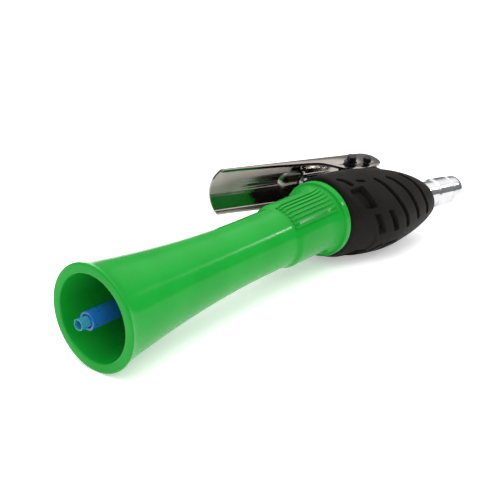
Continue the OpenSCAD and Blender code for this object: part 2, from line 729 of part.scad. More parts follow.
module stop_pin() {
    color([0.12, 0.12, 0.13]) lying() lever_axes()
        translate([stop_back, -stop_drop, 0]) pin_z(stop_r, stop_half_len);
}

nozzle_cone();
cone_seal();
nozzle_holder();
bearing_outer_rings();
hub_seal();
spinner_hub();
hub_clip();
bearing_inner_rings();
bearing_balls();
bearing_spacer();
spin_sleeve();
spin_tube();
valve_body();
rubber_boot();
stem_gland();
stem_seal();
valve_stem();
stem_button();
poppet();
poppet_face();
valve_spring();
spring_cap();
inlet_filter();
plug_washer();
air_plug();
lever();
lever_pin();
pin_clips();
stop_pin();
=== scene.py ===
"""Looks of the compressed-air whirl cleaning gun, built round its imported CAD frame."""
import json
import math

import bmesh
import bpy
import numpy as np
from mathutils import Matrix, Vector

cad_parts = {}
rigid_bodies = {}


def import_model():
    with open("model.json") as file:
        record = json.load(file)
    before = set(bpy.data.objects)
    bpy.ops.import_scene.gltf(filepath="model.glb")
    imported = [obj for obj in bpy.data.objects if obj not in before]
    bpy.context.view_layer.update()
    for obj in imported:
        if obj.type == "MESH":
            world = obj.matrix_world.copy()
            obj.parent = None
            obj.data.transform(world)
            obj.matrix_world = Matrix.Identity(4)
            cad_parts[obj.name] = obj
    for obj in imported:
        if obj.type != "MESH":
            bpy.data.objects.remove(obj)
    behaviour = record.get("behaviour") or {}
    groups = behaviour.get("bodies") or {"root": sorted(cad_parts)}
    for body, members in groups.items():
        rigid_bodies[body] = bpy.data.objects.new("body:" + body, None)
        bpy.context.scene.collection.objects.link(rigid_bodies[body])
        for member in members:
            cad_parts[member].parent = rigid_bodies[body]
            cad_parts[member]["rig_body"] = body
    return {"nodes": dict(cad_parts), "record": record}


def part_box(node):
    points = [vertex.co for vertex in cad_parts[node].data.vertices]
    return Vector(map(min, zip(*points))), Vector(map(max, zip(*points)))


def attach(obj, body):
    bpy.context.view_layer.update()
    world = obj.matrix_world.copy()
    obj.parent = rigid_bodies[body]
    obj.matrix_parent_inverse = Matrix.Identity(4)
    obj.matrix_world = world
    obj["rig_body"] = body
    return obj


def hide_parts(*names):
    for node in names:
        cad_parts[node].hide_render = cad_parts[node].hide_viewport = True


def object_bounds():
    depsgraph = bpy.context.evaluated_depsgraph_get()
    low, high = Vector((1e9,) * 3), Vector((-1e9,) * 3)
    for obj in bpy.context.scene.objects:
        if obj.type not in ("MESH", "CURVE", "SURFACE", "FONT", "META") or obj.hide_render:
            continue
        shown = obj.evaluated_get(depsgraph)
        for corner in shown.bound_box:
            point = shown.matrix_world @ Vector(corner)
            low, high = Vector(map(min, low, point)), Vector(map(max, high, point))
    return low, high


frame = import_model()
cad_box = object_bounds()
scene = bpy.context.scene
MM = 0.001

# how the gun lies: turned a little about the nozzle's axis
ROLL = math.radians(12)
HINGE = (167.7, 12.8)  # the hinge pin, along and across the gun

# the boot's form (millimetres, the gun's own axes). The part's source has a longer boot with a fuller palm,
# so these values aren't the CAD's.
BOOT_FRONT = 131.0
BOOT_REAR = 188.2
BOOT_WIDE, BOOT_WIDE_AT, BOOT_WIDE_REACH = 18.8, 140.2, 54.0
PALM_FRONT, PALM_OUT, PALM_PEAK, PALM_REACH, PALM_REAR = 16.8, 27.4, 159.2, 31.0, 22.0
LEVER_FRONT, LEVER_FALL, LEVER_FROM, LEVER_REACH, LEVER_POWER = 16.6, 29.5, 136.0, 62.5, 2.2
END_ROUND = 1.6
SKIN = 0.1            # how far the soft skin lies inside that form
STEP_ALONG = 0.25     # spacing of the skin's stations along the gun
STEPS_ROUND = 480
ARC = math.radians(1) * 20.0   # millimetres along the skin for one degree round it

# the smooth band at the front of the boot: its rear edge swings back under the palm
BAND_DEEP, BAND_REACH, BAND_MIDDLE, BAND_SPREAD, BAND_EDGE = 0.45, 12.2, 198.0, 48.0, 0.5

# the slots, as places (x, degrees round from the lever side). Most of these numbers are the output of a
# scratch program, which laid points read off the photograph onto the boot's form.
SLOT_DEEP = 3.0
SLOT_EDGE = 0.5
SHORT_HALF, HOLE_HALF, HOLE_DEEP, PATCH_GROW, UNDER_HALF = 1.0, 0.75, 1.5, 0.3, 0.7
SHORT_SLOT = ((134.6, 95.3), (136.2, 100.1), (137.1, 107.7))
SMALL_HOLE = ((142.0, 103.0), (144.7, 104.3))
WINDOW = ((135.2, 118.5), (141.0, 114.0), (142.4, 144.5), (138.2, 146.0), (134.6, 123.0))
PALM_SLOTS = (((141.1, 155.6), (143.2, 154.9), (145.7, 179.5), (143.6, 182.5)),
              ((148.2, 152.0), (150.0, 151.6), (152.6, 178.6), (151.0, 180.0)))
ARCS = (((151.6, 104.0), (152.9, 112.2), (153.9, 124.2), (155.1, 136.5), (156.7, 149.9), (158.5, 163.8),
         (159.4, 178.0)),
        ((160.0, 102.9), (162.1, 109.9), (163.5, 119.7), (164.9, 132.0), (165.8, 144.9), (167.3, 161.4),
         (168.3, 173.5)),
        ((171.6, 96.0), (173.4, 105.9), (174.8, 117.3), (175.5, 131.7), (175.9, 146.8), (176.9, 163.0),
         (176.9, 174.0)))
ARC_HALF = 1.0
UNDER_SLOTS = (((147.1, 204.0), (144.9, 212.0), (143.5, 236.0)),
               ((155.0, 201.5), (150.4, 204.5), (148.6, 236.0)))
FAR_ARC_END = 150.0   # the far side's arcs stop short of the palm

# what the boot is drawn over
BARREL_R, BARREL_END, KNUCKLE_R = 15.5, 147.0, 13.6
INLET_X, INLET_Y, INLET_TURN, INLET_LEN = 141.0, -1.5, math.radians(13.5), 42.0
INLET_START, INLET_FRONT_LEN, INLET_FRONT_R, INLET_R, WASHER_T = 4.0, 28.0, 11.0, 8.6, 1.2
STEM_X, BOSS_R, BOSS_TOP, CAP_BOSS_R, CAP_BOSS_END = 153.9, 7.5, 30.0, 9.5, 21.0
LUG_LOW, LUG_HIGH = (162.8, -6.0, -9.6), (180.8, 9.0, 9.6)
SADDLE, SADDLE_TURN, SADDLE_LEN, SADDLE_HALF = (157.2, 8.2), math.radians(15), 30.5, 11.6

# the cone
CONE_LEN, FLARE_LEN, FLARE_POWER, BELL_STEPS = 130.7, 84.0, 1.9, 56
MOUTH_R, RIM_W, LIP, LIP_LEN, NECK_R, NECK_BORE_R = 20.0, 3.8, 0.5, 8.0, 12.4, 9.9
RIM_ROUND, MOUTH_ROUND, REAR_BEVEL, RIB_ROOT = 0.8, 0.6, 0.6, 1.2
COLLAR_X, COLLAR_RAMP, COLLAR_R = 97.7, 4.2, 13.6
FLANGE_X, FLANGE_R, FLANGE_EDGE, FLANGE_SWEEP = 127.1, 16.5, 0.7, 6.6
SOCKET_X, SOCKET_R = 116.2, 11.13
RIB_COUNT, RIB_PITCH, RIB_W, RIB_H, RIB_TURN = 8, 1.85, 0.9, 0.5, math.radians(109)
SLEEVE_OUT, SLEEVE_R, SLEEVE_BORE = 2.1, 3.4, 2.45
TUBE_OUT, TUBE_R, TUBE_BORE = 6.0, 2.12, 1.7

# the hose plug
PLUG_LEN, PLUG_NECK, PLUG_BEAD, BEAD_ROUND = 34.0, 17.0, 6.7, 2.6
PLUG_R, PLUG_NECK_R, PLUG_GROOVE_R, PLUG_BORE = 6.8, 6.1, 5.9, 3.6
THREAD_LEN, THREAD_R = 10.0, 6.0

# the lever, in its own axes: x back, y outwards, the hinge pin at the origin
LEVER_TURN = math.radians(17.85)
LEVER_LEN, LEVER_BACK, LEVER_HALF, LEVER_T, BEND_R = 66.0, 17.7, 11.0, 1.2, 2.4
WEB_EDGE, WEB_CROWN, EAR_DROP = 10.0, 3.0, 5.0
WEB_TOP = WEB_EDGE + WEB_CROWN
# the flanges' and ears' edge: points read off the photograph, laid onto the lever by a scratch program and
# then moved a little by hand
EAR_OUTLINE = ((-54, 7.7), (-43, 7.2), (-34, 6.6), (-26, 5.9), (-20, 5.5), (-15.5, 4.9), (-12.8, 4),
               (-10, 1.8), (-7.6, -0.6), (-4.9, -3), (-1.6, -4.6), (4.7, -5), (9.2, -4.5), (14.4, -3.2),
               (16.6, -1.8), (17.6, 0.4), (17.7, 3), (17, 5.8), (14.6, 8.3), (9.5, 10))
DISH_X, DISH_LEN, DISH_R, DISH_DEPTH = -19.1, 6.5, 6.0, 2.2
PIN_R, PIN_STAND, STOP_R, STOP_STAND, STOP_BACK, STOP_DROP = 1.6, 4.4, 1.5, 3.2, 8.9, 0.8
HEAD_LEN, HEAD_ROUND, PIN_HEAD_R, STOP_HEAD_R = 2.4, 0.7, 2.3, 2.0
EDGE = 0.16           # broken edge of the stamped sheet

FLOOR_GLOW = 0.4      # a table lit from within a little, as a light table is


def to_row(point):
    """A place in the gun's own millimetres as one in the shared frame."""
    x, y, z = point
    return (x * MM, (y * math.cos(ROLL) - z * math.sin(ROLL)) * MM,
            (y * math.sin(ROLL) + z * math.cos(ROLL)) * MM)


def add_mesh(name, mesh):
    piece = bpy.data.objects.new(name, mesh)
    scene.collection.objects.link(piece)
    return piece


# ---------------------------------------------------------------- materials

def new_material(name):
    """A node material; returns the material, its node tree and its shader node."""
    material = bpy.data.materials.new(name)
    material.use_nodes = True
    tree = material.node_tree
    return material, tree, tree.nodes["Principled BSDF"]


def mapped(tree, stretch, turn=0.0):
    """Places on the piece itself, stretched and turned about Z."""
    place = tree.nodes.new("ShaderNodeTexCoord")
    mapping = tree.nodes.new("ShaderNodeMapping")
    mapping.inputs["Scale"].default_value = stretch
    mapping.inputs["Rotation"].default_value = (0, 0, turn)
    tree.links.new(place.outputs["Object"], mapping.inputs["Vector"])
    return mapping.outputs["Vector"]


def noise(tree, where, scale, detail=2.0):
    node = tree.nodes.new("ShaderNodeTexNoise")
    node.inputs["Scale"].default_value = scale
    node.inputs["Detail"].default_value = detail
    tree.links.new(where, node.inputs["Vector"])
    return node.outputs["Fac"]


def colours(tree, amount, low, high, start=0.35, stop=0.65):
    """A blend from one colour to another as the amount grows."""
    ramp = tree.nodes.new("ShaderNodeValToRGB")
    ramp.color_ramp.elements[0].position = start
    ramp.color_ramp.elements[0].color = (*low, 1)
    ramp.color_ramp.elements[1].position = stop
    ramp.color_ramp.elements[1].color = (*high, 1)
    tree.links.new(amount, ramp.inputs["Fac"])
    return ramp.outputs["Color"]


def spread(tree, amount, low, high):
    """A number running from low to high as the amount grows."""
    node = tree.nodes.new("ShaderNodeMapRange")
    node.inputs["From Min"].default_value = 0.3
    node.inputs["From Max"].default_value = 0.7
    node.inputs["To Min"].default_value = low
    node.inputs["To Max"].default_value = high
    tree.links.new(amount, node.inputs["Value"])
    return node.outputs["Result"]


def bump(tree, shader, height, depth, strength=1.0):
    node = tree.nodes.new("ShaderNodeBump")
    node.inputs["Distance"].default_value = depth
    node.inputs["Strength"].default_value = strength
    tree.links.new(height, node.inputs["Height"])
    tree.links.new(node.outputs["Normal"], shader.inputs["Normal"])


def surface(name, low, high, rough, metal=0.0, grain=900.0, depth=0.00002, stretch=(1, 1, 1), turn=0.0,
            patch=45.0, **sockets):
    """A surface with broad colour drift, a roughness that wanders and fine grain."""
    material, tree, shader = new_material(name)
    even = mapped(tree, (1, 1, 1))
    grained = mapped(tree, stretch, turn)
    broad = noise(tree, even, patch, 3.0)
    fine = noise(tree, grained, grain, 2.0)
    tree.links.new(colours(tree, broad, low, high), shader.inputs["Base Color"])
    tree.links.new(spread(tree, fine, *rough), shader.inputs["Roughness"])
    bump(tree, shader, fine, depth)
    shader.inputs["Metallic"].default_value = metal
    for socket, number in sockets.items():
        shader.inputs[socket.replace("_", " ")].default_value = number
    return material


def rubber(name):
    """Matt moulded rubber: fine pebble, a dusty bloom and soft wear."""
    material, tree, shader = new_material(name)
    where = mapped(tree, (1, 1, 1))
    pebble = noise(tree, where, 1700.0, 3.0)
    bloom = noise(tree, where, 60.0, 5.0)
    tree.links.new(colours(tree, bloom, (0.0045, 0.0038, 0.0034), (0.0085, 0.0073, 0.0067)),
                   shader.inputs["Base Color"])
    tree.links.new(spread(tree, pebble, 0.5, 0.68), shader.inputs["Roughness"])
    bump(tree, shader, pebble, 0.00012)
    shader.inputs["Specular IOR Level"].default_value = 0.1
    return material


def turned(name, low, high, rough, pitch, depth, turn):
    """Bright metal with fine lathe rings across its own axis."""
    material, tree, shader = new_material(name)
    where = mapped(tree, (1, 1, 1), turn)
    rings = tree.nodes.new("ShaderNodeTexWave")
    rings.bands_direction = "X"
    rings.inputs["Scale"].default_value = 1 / (pitch * 20)
    rings.inputs["Distortion"].default_value = 0.6
    rings.inputs["Detail"].default_value = 3.0
    tree.links.new(where, rings.inputs["Vector"])
    broad = noise(tree, where, 120.0, 4.0)
    tree.links.new(colours(tree, broad, low, high), shader.inputs["Base Color"])
    tree.links.new(spread(tree, broad, *rough), shader.inputs["Roughness"])
    bump(tree, shader, rings.outputs["Fac"], depth)
    shader.inputs["Metallic"].default_value = 1.0
    return material


def make_looks():
    inlet_turn = math.radians(11)
    return {
        "green_plastic": surface("green_plastic", (0.005, 0.275, 0.023), (0.008, 0.31, 0.03), (0.13, 0.19),
                                 grain=420.0, depth=0.00001, Specular_IOR_Level=0.13),
        "blue_plastic": surface("blue_plastic", (0.008, 0.095, 0.36), (0.012, 0.115, 0.42), (0.26, 0.36),
                                grain=500.0, depth=0.000008),
        "clear_blue": surface("clear_blue", (0.06, 0.42, 0.62), (0.09, 0.5, 0.7), (0.16, 0.24), grain=700.0,
                              depth=0.00001, Transmission_Weight=0.55),
        "boot_rubber": rubber("boot_rubber"),
        "seal_rubber": surface("seal_rubber", (0.012, 0.012, 0.012), (0.02, 0.02, 0.02), (0.4, 0.52),
                               grain=1500.0, depth=0.00004),
        "black_casting": surface("black_casting", (0.014, 0.014, 0.015), (0.024, 0.024, 0.025), (0.38, 0.55),
                                 grain=1100.0, depth=0.00006),
        "aluminium": surface("aluminium", (0.6, 0.6, 0.61), (0.7, 0.7, 0.7), (0.26, 0.36), 1.0, grain=900.0),
        "bearing_steel": turned("bearing_steel", (0.55, 0.55, 0.56), (0.66, 0.66, 0.66), (0.12, 0.2), 0.0003,
                                0.000004, 0.0),
        "lever_steel": surface("lever_steel", (0.27, 0.246, 0.222), (0.34, 0.315, 0.288), (0.1, 0.17), 1.0,
                               grain=1600.0, depth=0.000012, stretch=(0.06, 1, 1), patch=70.0),
        "chrome": turned("chrome", (0.5, 0.5, 0.51), (0.6, 0.6, 0.61), (0.1, 0.17), 0.0003, 0.000006,
                         inlet_turn),
        "dark_steel": surface("dark_steel", (0.014, 0.014, 0.015), (0.03, 0.029, 0.028), (0.22, 0.36), 0.6,
                              grain=1400.0, depth=0.00002),
        "brass": turned("brass", (0.56, 0.4, 0.17), (0.66, 0.5, 0.24), (0.2, 0.32), 0.0003, 0.000006, 0.0),
        "white_plastic": surface("white_plastic", (0.7, 0.7, 0.68), (0.78, 0.78, 0.76), (0.35, 0.45)),
    }


LOOKS = make_looks()


def dress(piece, slot):
    piece.data.materials.clear()
    piece.data.materials.append(LOOKS[slot])


def dress_nodes():
    for part in frame["record"]["subparts"]:
        dress(frame["nodes"][part["node"]], part["material_slot"])


# ---------------------------------------------------------------- the boot

def boot_sections(x):
    """Middle, half height and half width of the boot's section at each x."""
    wide = BOOT_WIDE * np.sqrt(1 - ((x - BOOT_WIDE_AT) / BOOT_WIDE_REACH) ** 2)
    swell = np.sin(math.pi / 2 * (x - BOOT_FRONT) / (PALM_PEAK - BOOT_FRONT))
    front = PALM_FRONT + (PALM_OUT - PALM_FRONT) * swell
    round_off = np.sqrt(np.clip(1 - ((x - PALM_PEAK) / PALM_REACH) ** 2, 0, 1))
    rear = PALM_REAR + (PALM_OUT - PALM_REAR) * round_off
    palm = -np.where(x < PALM_PEAK, front, rear)
    lever = LEVER_FRONT - LEVER_FALL * (np.clip(x - LEVER_FROM, 0, None) / LEVER_REACH) ** LEVER_POWER
    near = np.minimum(x - BOOT_FRONT, BOOT_REAR - x)
    tuck = END_ROUND - np.sqrt(END_ROUND ** 2 - np.clip(END_ROUND - near, 0, END_ROUND) ** 2)
    return (lever + palm) / 2, (lever - palm) / 2 - tuck, wide - tuck


def smooth_step(value):
    value = np.clip(value, 0, 1)
    return value * value * (3 - 2 * value)


def segment_gap(x, a, start, stop):
    """Distance on the skin from each place to one straight stretch."""
    ax, ay = start[0], start[1] * ARC
    bx, by = stop[0] - ax, stop[1] * ARC - ay
    along = np.clip(((x - ax) * bx + (a * ARC - ay) * by) / (bx * bx + by * by), 0, 1)
    return np.hypot(x - ax - along * bx, a * ARC - ay - along * by)


def line_gap(x, a, line):
    return np.minimum.reduce([segment_gap(x, a, p, q) for p, q in zip(line, line[1:])])


def patch_gap(x, a, corners):
    """Signed distance on the skin to a closed patch: less than nothing inside it."""
    edge = line_gap(x, a, tuple(corners) + (corners[0],))
    inside = np.zeros(x.shape, bool)
    for p, q in zip(corners, corners[1:] + corners[:1]):
        crosses = (p[1] > a) != (q[1] > a)
        rise = np.where(q[1] == p[1], 1, q[1] - p[1])
        inside ^= crosses & (x < p[0] + (a - p[1]) * (q[0] - p[0]) / rise)
    return np.where(inside, -edge, edge)


def mirrored(places, limit=360.0):
    return tuple((x, 360 - a) for x, a in places if a <= limit)


def cut_in(gap, half, deep=SLOT_DEEP):
    return deep * smooth_step((half + SLOT_EDGE / 2 - gap) / SLOT_EDGE)


def slot_depths(x, a):
    """How far each place of the skin is pushed in by the slots of both sides."""
    depths = []
    for side in (tuple, mirrored):
        depths.append(cut_in(line_gap(x, a, side(SHORT_SLOT)), SHORT_HALF))
        depths.append(cut_in(line_gap(x, a, side(SMALL_HOLE)), HOLE_HALF, HOLE_DEEP))
        depths.append(cut_in(patch_gap(x, a, side(WINDOW)), PATCH_GROW))
    for corners in PALM_SLOTS:
        depths.append(cut_in(patch_gap(x, a, corners), PATCH_GROW))
    for line in ARCS:
        depths.append(cut_in(line_gap(x, a, line), ARC_HALF))
        depths.append(cut_in(line_gap(x, a, mirrored(line, FAR_ARC_END)), ARC_HALF))
    for line in UNDER_SLOTS:
        depths.append(cut_in(line_gap(x, a, line), UNDER_HALF))
    return np.maximum.reduce(depths)


def band_depth(x, a):
    edge = BOOT_FRONT + BAND_REACH * np.exp(-((a - BAND_MIDDLE) / BAND_SPREAD) ** 2) - BAND_EDGE
    return BAND_DEEP * smooth_step((edge - x) / BAND_EDGE + 0.5)


def boot_skin():
    """The boot's outer form with its slots, closed at both ends."""
    stations = np.arange(BOOT_FRONT + SKIN, BOOT_REAR - SKIN + STEP_ALONG / 2, STEP_ALONG)
    degrees = np.arange(STEPS_ROUND) * 360.0 / STEPS_ROUND
    x, a = np.meshgrid(stations, degrees, indexing="ij")
    middle, high, wide = boot_sections(x)
    turn = np.radians(a)
    out_y, out_z = np.cos(turn) / high, np.sin(turn) / wide
    size = np.hypot(out_y, out_z)
    push = SKIN + np.maximum(slot_depths(x, a), band_depth(x, a))
    y = middle + high * np.cos(turn) - push * out_y / size
    z = wide * np.sin(turn) - push * out_z / size
    points = [to_row(p) for p in zip(x.ravel(), y.ravel(), z.ravel())]
    faces = []
    for i in range(len(stations) - 1):
        for k in range(STEPS_ROUND):
            here, across = i * STEPS_ROUND + k, i * STEPS_ROUND + (k + 1) % STEPS_ROUND
            faces.append((here, here + STEPS_ROUND, across + STEPS_ROUND, across))
    last = (len(stations) - 1) * STEPS_ROUND
    faces.append(tuple(range(STEPS_ROUND)))
    faces.append(tuple(reversed(range(last, last + STEPS_ROUND))))
    mesh = bpy.data.meshes.new("boot_skin")
    mesh.from_pydata(points, [], faces)
    tidy_normals(mesh)
    return add_mesh("boot_skin", mesh)


def tidy_normals(mesh):
    work = bmesh.new()
    work.from_mesh(mesh)
    bmesh.ops.remove_doubles(work, verts=work.verts, dist=1e-7)
    bmesh.ops.recalc_face_normals(work, faces=work.faces)
    work.to_mesh(mesh)
    work.free()


def settle(piece):
    """Apply a piece's modifiers to its mesh."""
    depsgraph = bpy.context.evaluated_depsgraph_get()
    mesh = bpy.data.meshes.new_from_object(piece.evaluated_get(depsgraph))
    piece.modifiers.clear()
    piece.data = mesh


def combine(piece, other, operation):
    """Join, cut or keep the common part of two closed solids."""
    step = piece.modifiers.new(operation, "BOOLEAN")
    step.operation = operation
    step.solver = "MANIFOLD"
    step.object = other
    settle(piece)
    bpy.data.objects.remove(other)
    return piece


def finish_piece(piece, slot, node, angle=35):
    """Dress a piece and let it ride on the body of the CAD node whose place it takes."""
    piece.data.shade_smooth()
    piece.data.set_sharp_from_angle(angle=math.radians(angle))
    dress(piece, slot)
    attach(piece, frame["nodes"][node]["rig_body"])
    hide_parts(node)


def solid(name, points, faces):
    """A closed mesh from places in the gun's own millimetres."""
    mesh = bpy.data.meshes.new(name)
    mesh.from_pydata([to_row(p) for p in points], [], faces)
    tidy_normals(mesh)
    return add_mesh(name, mesh)


def lathe(name, profile, place, steps=96, closed=True):
    """Turn a profile of (along, radius) about an axis; an open one is capped at both ends."""
    points = [place(t, r * math.cos(2 * math.pi * k / steps), r * math.sin(2 * math.pi * k / steps))
              for t, r in profile for k in range(steps)]
    rings = len(profile)
    faces = []
    for i in range(rings if closed else rings - 1):
        here, there = i * steps, (i + 1) % rings * steps
        for k in range(steps):
            m = (k + 1) % steps
            faces.append((here + k, there + k, there + m, here + m))
    if not closed:
        faces.append(tuple(range(steps)))
        faces.append(tuple(range((rings - 1) * steps, rings * steps)))
    return solid(name, points, faces)


def prism(name, outline, low, high, place):
    """A flat outline carried along the third direction."""
    n = len(outline)
    points = [place(u, v, w) for w in (low, high) for u, v in outline]
    faces = [tuple(range(n)), tuple(range(n, 2 * n))]
    faces += [(k, (k + 1) % n, n + (k + 1) % n, n + k) for k in range(n)]
    return solid(name, points, faces)


def block(name, low, high, place):
    outline = ((low[0], low[1]), (high[0], low[1]), (high[0], high[1]), (low[0], high[1]))
    return prism(name, outline, low[2], high[2], place)


def bar(name, start, stop, radius, place, edge=0.0, steps=96):
    """A round bar, with its ends broken by a small edge."""
    profile = [(start, radius - edge), (start + edge, radius), (stop - edge, radius), (stop, radius - edge)]
    return lathe(name, profile if edge else [(start, radius), (stop, radius)], place, steps, closed=False)


def in_gun(x, y, z):
    return x, y, z


def in_inlet(t, u, v):
    c, s = math.cos(INLET_TURN), math.sin(INLET_TURN)
    return INLET_X + t * c + u * s, INLET_Y - t * s + u * c, v


def in_stem(t, u, v):
    return STEM_X + u, t, v


def in_lever(x, y, z):
    c, s = math.cos(LEVER_TURN), math.sin(LEVER_TURN)
    return HINGE[0] + x * c + y * s, HINGE[1] - x * s + y * c, z


def in_saddle(x, y, z):
    c, s = math.cos(SADDLE_TURN), math.sin(SADDLE_TURN)
    return SADDLE[0] + x * c + y * s, SADDLE[1] - x * s + y * c, z


def boot_hollows():
    """What the boot is open to: the casting, the hose plug, the stem's boss and the lever's saddle."""
    gap = 0.1
    half_turn = [math.radians(a) for a in range(2, 180, 4)]
    ball = [(INLET_X - (KNUCKLE_R + gap) * math.cos(a), (KNUCKLE_R + gap) * math.sin(a)) for a in half_turn]
    return [bar("hollow", BOOT_FRONT - 1, BARREL_END + gap, BARREL_R + gap, in_gun),
            lathe("hollow", ball, in_gun, closed=False),
            bar("hollow", INLET_START, INLET_FRONT_LEN + gap, INLET_FRONT_R + gap, in_inlet),
            bar("hollow", INLET_FRONT_LEN / 2, INLET_LEN + WASHER_T + gap, INLET_R + gap, in_inlet),
            bar("hollow", INLET_LEN, INLET_LEN + 30, PLUG_NECK_R + gap, in_inlet),
            bar("hollow", -2, BOSS_TOP, BOSS_R + gap, in_stem),
            bar("hollow", -CAP_BOSS_END - gap, 3, CAP_BOSS_R + gap, in_stem),
            block("hollow", LUG_LOW, LUG_HIGH, in_gun),
            block("hollow", (0, 0, -SADDLE_HALF), (SADDLE_LEN, 20, SADDLE_HALF), in_saddle)]


def make_boot():
    """The slotted skin, opened to what it is drawn over."""
    boot = boot_skin()
    for hollow in boot_hollows():
        combine(boot, hollow, "DIFFERENCE")
    boot.name = "slotted_boot"
    finish_piece(boot, "boot_rubber", "rubber_boot", 50)


# ---------------------------------------------------------------- the cone, the sleeve and the plug

def bell_outer(x):
    flare = (1 - min(x, FLARE_LEN) / FLARE_LEN) ** FLARE_POWER
    return NECK_R + (MOUTH_R - LIP - NECK_R) * flare + LIP * max(0, 1 - x / LIP_LEN) ** 2


def bell_inner(x):
    flare = (1 - min(x, FLARE_LEN) / FLARE_LEN) ** FLARE_POWER
    return NECK_BORE_R + (MOUTH_R - RIM_W - NECK_BORE_R) * flare


def arc_steps(low, high, count):
    return [math.radians(low + (high - low) * i / count) for i in range(count + 1)]


def collar_line(grow):
    """Ramp up to the collar, the collar, and its sweep out to the flange's edge."""
    step = COLLAR_R - NECK_R
    ramp = [(COLLAR_X + COLLAR_RAMP * a / math.pi, NECK_R + grow + step * (1 - math.cos(a)) / 2)
            for a in arc_steps(0, 180, 12)]
    rise = FLANGE_R - FLANGE_EDGE - COLLAR_R - grow
    return ramp + [(FLANGE_X - FLANGE_SWEEP * (1 - math.sin(a)), COLLAR_R + grow + rise * (1 - math.cos(a)))
                   for a in arc_steps(0, 90, 12)]


def make_cone():
    """Bell, ribbed collar and flange, turned and ribbed as the moulding is."""
    rim = [(RIM_ROUND * (1 - math.cos(a)), MOUTH_R - RIM_ROUND * (1 - math.sin(a)))
           for a in arc_steps(0, 90, 6)]
    inside = [(MOUTH_ROUND * (1 - math.sin(a)), MOUTH_R - RIM_W + MOUTH_ROUND * (1 - math.cos(a)))
              for a in arc_steps(0, 90, 6)]
    steps = [FLARE_LEN * i / BELL_STEPS for i in range(1, BELL_STEPS + 1)]
    outer = [(x, bell_outer(x)) for x in steps]
    flange = [(FLANGE_X + FLANGE_EDGE * (1 - math.cos(a)), FLANGE_R - FLANGE_EDGE * (1 - math.sin(a)))
              for a in arc_steps(0, 90, 5)][1:]
    flange += [(CONE_LEN - REAR_BEVEL, FLANGE_R), (CONE_LEN, FLANGE_R - REAR_BEVEL), (CONE_LEN, SOCKET_R),
               (SOCKET_X, SOCKET_R), (SOCKET_X, NECK_BORE_R)]
    inner = [(x, bell_inner(x)) for x in reversed(steps)]
    cone = lathe("cone", rim + outer + collar_line(0) + flange + inner + inside, in_gun, 360)
    core = NECK_R - RIB_ROOT
    ribs = lathe("ribs", [(COLLAR_X, core)] + collar_line(RIB_H) + [(FLANGE_X, core)], in_gun, 360)
    bars = None
    for i in range(2 * RIB_COUNT):
        panel, place = divmod(i, RIB_COUNT)
        turn = RIB_TURN + (place - (RIB_COUNT - 1) / 2) * RIB_PITCH / COLLAR_R + math.pi * panel
        c, s = math.cos(turn), math.sin(turn)

        def turned_in(x, y, z, c=c, s=s):
            return x, y * c - z * s, y * s + z * c
        one = block("rib", (COLLAR_X + COLLAR_RAMP / 2 - 0.6, core + 0.3, -RIB_W / 2),
                    (FLANGE_X - 1.1, core + COLLAR_R, RIB_W / 2), turned_in)
        bars = one if bars is None else combine(bars, one, "UNION")
    combine(ribs, bars, "INTERSECT")
    combine(cone, ribs, "UNION")
    cone.name = "ribbed_cone"
    finish_piece(cone, "green_plastic", "nozzle_cone", 28)


def ring_piece(name, front, rear, radius, bore, slot, node):
    edge = 0.2
    profile = [(front, bore + edge), (front, radius - edge), (front + edge, radius), (rear - edge, radius),
               (rear, radius - edge), (rear, bore), (front + edge, bore)]
    piece = lathe(name, profile, in_gun)
    finish_piece(piece, slot, node)


def make_tubes():
    ring_piece("sleeve", -SLEEVE_OUT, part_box("spin_sleeve")[1].x / MM, SLEEVE_R, SLEEVE_BORE, "blue_plastic",
               "spin_sleeve")
    ring_piece("tube", -TUBE_OUT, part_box("spin_tube")[1].x / MM, TUBE_R, TUBE_BORE, "clear_blue", "spin_tube")


def make_plug():
    """Hose plug: screwed end, collar, long cylinder, locking groove and rounded bead."""
    start = INLET_LEN
    face = start + WASHER_T + 0.06
    neck = start + PLUG_NECK
    end = start + PLUG_LEN
    bead = end - PLUG_BEAD
    bead_r = PLUG_R - 0.4
    nose = [(end - BEAD_ROUND * (1 - math.sin(a)), bead_r - BEAD_ROUND * (1 - math.cos(a)))
            for a in arc_steps(10, 88, 8)]
    profile = [(start - THREAD_LEN, PLUG_BORE), (start - THREAD_LEN, THREAD_R - 0.6),
               (start - THREAD_LEN + 0.6, THREAD_R), (face, THREAD_R), (face, PLUG_NECK_R),
               (neck, PLUG_NECK_R), (neck + 0.8, PLUG_R), (bead - 1.9, PLUG_R), (bead - 1.7, PLUG_R - 0.15),
               (bead - 1.3, PLUG_GROOVE_R), (bead - 0.35, PLUG_GROOVE_R), (bead - 0.05, PLUG_R - 0.55),
               (bead + 0.1, bead_r), (end - BEAD_ROUND - 1.2, bead_r)] + nose
    profile += [(end, PLUG_BORE + 0.5), (end - 0.8, PLUG_BORE)]
    plug = lathe("plug", profile, in_inlet, 160)
    finish_piece(plug, "chrome", "air_plug", 25)


# ---------------------------------------------------------------- the lever

def sheet_line(depth):
    """Section of the bent sheet, from one flange's foot over the crown to the other's."""
    crown_r = (LEVER_HALF ** 2 + WEB_CROWN ** 2) / (2 * WEB_CROWN)
    corner_z = LEVER_HALF - BEND_R
    corner_y = WEB_TOP - crown_r + math.sqrt((crown_r - BEND_R) ** 2 - corner_z ** 2)
    lean = math.degrees(math.asin(corner_z / (crown_r - BEND_R)))
    half = [(-EAR_DROP - 2 - depth, LEVER_HALF - depth)]
    half += [(corner_y + (BEND_R - depth) * math.sin(a), corner_z + (BEND_R - depth) * math.cos(a))
             for a in arc_steps(0, 90 - lean, 8)]
    half += [(WEB_TOP - crown_r + (crown_r - depth) * math.cos(a), (crown_r - depth) * math.sin(a))
             for a in arc_steps(lean, 0, 8)[1:]]
    return half + [(y, -z) for y, z in reversed(half[:-1])]


